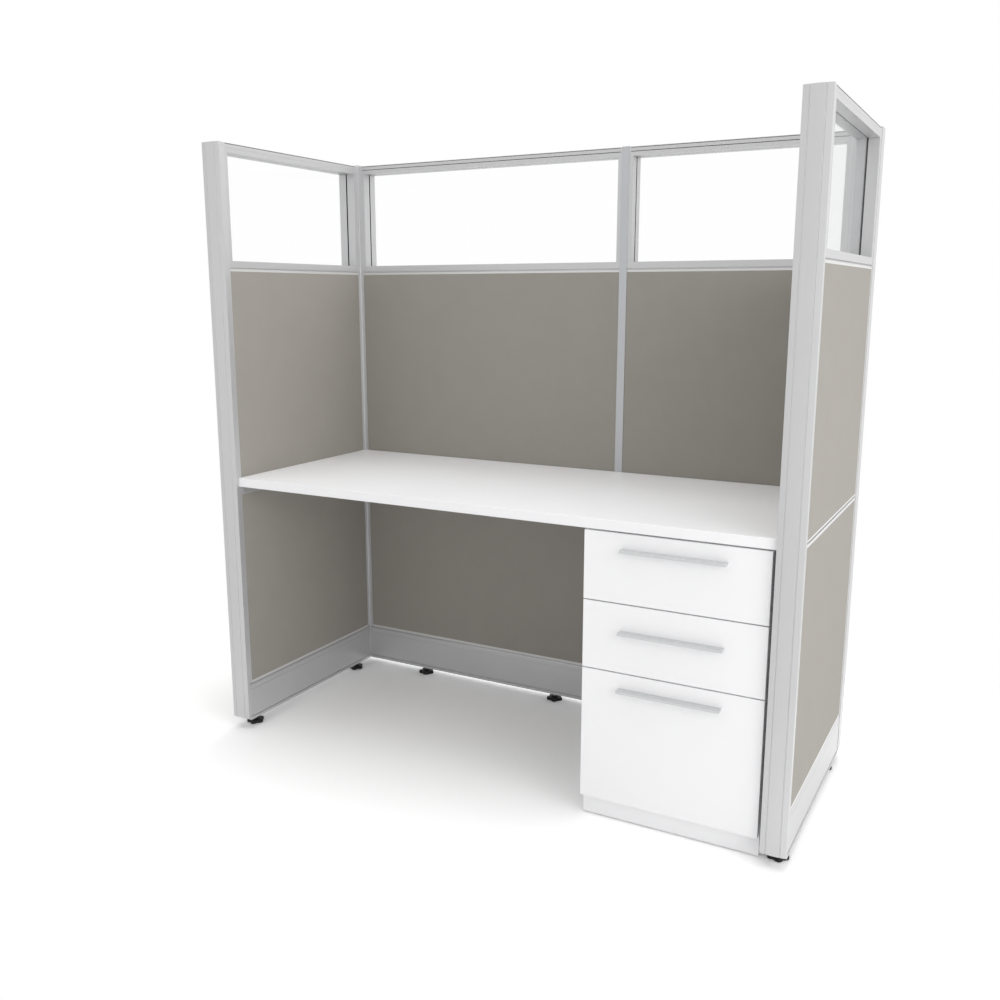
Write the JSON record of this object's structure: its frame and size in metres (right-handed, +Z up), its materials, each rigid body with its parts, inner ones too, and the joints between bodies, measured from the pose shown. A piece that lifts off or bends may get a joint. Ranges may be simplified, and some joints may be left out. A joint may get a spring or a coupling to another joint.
{
  "type": "cubicle workstation",
  "caption": "Office cubicle workstation: framed, cloth-tiled and glazed panels on the back and sides of a white worksurface, with a drawer pedestal under its right end.",
  "frame": {"origin": "middle of the footprint, on the floor", "axes": "+Z up, -Y towards the open front where the user sits, +X towards the pedestal"},
  "size_m": [1.6454, 0.6882, 1.6825],
  "materials": {
    "frame_steel": "satin silver paint",
    "tile_fabric": "taupe woven panel cloth",
    "bright_trim": "bright satin",
    "silver_trim": "satin silver",
    "clear_glass": "clear",
    "black_rubber": "matt",
    "black_plastic": "matt black",
    "white_board": "white laminate, satin",
    "box_board": "pale grey melamine",
    "satin_pull": "satin silver",
    "zinc_steel": "zinc plated"
  },
  "bodies": {
    "station": {"frame_left_return": "frame_steel", "frame_back_wide": "frame_steel", "frame_back_narrow": "frame_steel", "frame_right_return": "frame_steel", "upper_tiles_left_return": "tile_fabric", "upper_tiles_back_wide": "tile_fabric", "upper_tiles_back_narrow": "tile_fabric", "upper_tiles_right_return": "tile_fabric", "lower_tiles_left_return": "tile_fabric", "lower_tiles_back_wide": "tile_fabric", "lower_tiles_back_narrow": "tile_fabric", "lower_tiles_right_return": "tile_fabric", "tile_edge_strips": "bright_trim", "glazing_frame_left_return": "silver_trim", "glazing_frame_back_wide": "silver_trim", "glazing_frame_back_narrow": "silver_trim", "glazing_frame_right_return": "silver_trim", "glass_panes": "clear_glass", "glazing_gaskets": "black_rubber", "top_cap_left_return": "silver_trim", "top_cap_back_wide": "silver_trim", "top_cap_back_narrow": "silver_trim", "top_cap_right_return": "silver_trim", "base_covers_left_return": "silver_trim", "base_covers_back_wide": "silver_trim", "base_covers_back_narrow": "silver_trim", "base_covers_right_return": "silver_trim", "corner_posts": "silver_trim", "end_trims": "silver_trim", "seam_cover": "silver_trim", "worksurface": "white_board", "worksurface_brackets": "frame_steel", "pedestal_case": "white_board", "pedestal_back": "white_board", "pedestal_toe_board": "white_board", "pedestal_pads": "black_plastic", "runner_outers": "zinc_steel"},
    "levelling_foot_left_return_a": {"levelling_foot_left_return_a": "black_plastic"},
    "levelling_foot_left_return_b": {"levelling_foot_left_return_b": "black_plastic"},
    "levelling_foot_back_wide_a": {"levelling_foot_back_wide_a": "black_plastic"},
    "levelling_foot_back_wide_b": {"levelling_foot_back_wide_b": "black_plastic"},
    "levelling_foot_back_narrow_a": {"levelling_foot_back_narrow_a": "black_plastic"},
    "levelling_foot_back_narrow_b": {"levelling_foot_back_narrow_b": "black_plastic"},
    "levelling_foot_right_return_a": {"levelling_foot_right_return_a": "black_plastic"},
    "levelling_foot_right_return_b": {"levelling_foot_right_return_b": "black_plastic"},
    "drawer_1": {"drawer_front_1": "white_board", "drawer_box_1": "box_board", "drawer_pull_1": "satin_pull", "runner_inners_1": "zinc_steel"},
    "drawer_2": {"drawer_front_2": "white_board", "drawer_box_2": "box_board", "drawer_pull_2": "satin_pull", "runner_inners_2": "zinc_steel"},
    "drawer_3": {"drawer_front_3": "white_board", "drawer_box_3": "box_board", "drawer_pull_3": "satin_pull", "runner_inners_3": "zinc_steel"},
    "runner_middle_pair_1": {"runner_middles_1": "zinc_steel"},
    "runner_middle_pair_2": {"runner_middles_2": "zinc_steel"},
    "runner_middle_pair_3": {"runner_middles_3": "zinc_steel"}
  },
  "joints": [
    {"name": "drawer_1_slide", "type": "slide", "parent": "station", "child": "drawer_1", "axis": [0, -1, 0], "range_m": [0, 0.5]},
    {"name": "drawer_2_slide", "type": "slide", "parent": "station", "child": "drawer_2", "axis": [0, -1, 0], "range_m": [0, 0.5]},
    {"name": "drawer_3_slide", "type": "slide", "parent": "station", "child": "drawer_3", "axis": [0, -1, 0], "range_m": [0, 0.5]},
    {"name": "runner_middle_1_slide", "type": "slide", "parent": "station", "child": "runner_middle_pair_1", "axis": [0, -1, 0], "range_m": [0, 0.25]},
    {"name": "runner_middle_2_slide", "type": "slide", "parent": "station", "child": "runner_middle_pair_2", "axis": [0, -1, 0], "range_m": [0, 0.25]},
    {"name": "runner_middle_3_slide", "type": "slide", "parent": "station", "child": "runner_middle_pair_3", "axis": [0, -1, 0], "range_m": [0, 0.25]},
    {"name": "levelling_foot_left_return_a_turn", "type": "hinge", "parent": "station", "child": "levelling_foot_left_return_a", "pos_m": [-0.7925, -0.27537, 0.0285], "axis": [0, 0, 1], "continuous": true},
    {"name": "levelling_foot_left_return_b_turn", "type": "hinge", "parent": "station", "child": "levelling_foot_left_return_b", "pos_m": [-0.7925, 0.23362, 0.0285], "axis": [0, 0, 1], "continuous": true},
    {"name": "levelling_foot_back_wide_a_turn", "type": "hinge", "parent": "station", "child": "levelling_foot_back_wide_a", "pos_m": [-0.55025, 0.31388, 0.0285], "axis": [0, 0, 1], "continuous": true},
    {"name": "levelling_foot_back_wide_b_turn", "type": "hinge", "parent": "station", "child": "levelling_foot_back_wide_b", "pos_m": [-0.06125, 0.31388, 0.0285], "axis": [0, 0, 1], "continuous": true},
    {"name": "levelling_foot_back_narrow_a_turn", "type": "hinge", "parent": "station", "child": "levelling_foot_back_narrow_a", "pos_m": [0.20075, 0.31388, 0.0285], "axis": [0, 0, 1], "continuous": true},
    {"name": "levelling_foot_back_narrow_b_turn", "type": "hinge", "parent": "station", "child": "levelling_foot_back_narrow_b", "pos_m": [0.71225, 0.31388, 0.0285], "axis": [0, 0, 1], "continuous": true},
    {"name": "levelling_foot_right_return_a_turn", "type": "hinge", "parent": "station", "child": "levelling_foot_right_return_a", "pos_m": [0.7925, 0.23362, 0.0285], "axis": [0, 0, 1], "continuous": true},
    {"name": "levelling_foot_right_return_b_turn", "type": "hinge", "parent": "station", "child": "levelling_foot_right_return_b", "pos_m": [0.7925, -0.27537, 0.0285], "axis": [0, 0, 1], "continuous": true}
  ],
  "couplings": [
    {"joint": "runner_middle_1_slide", "follows": "drawer_1_slide", "ratio": 0.5},
    {"joint": "runner_middle_2_slide", "follows": "drawer_2_slide", "ratio": 0.5},
    {"joint": "runner_middle_3_slide", "follows": "drawer_3_slide", "ratio": 0.5}
  ]
}
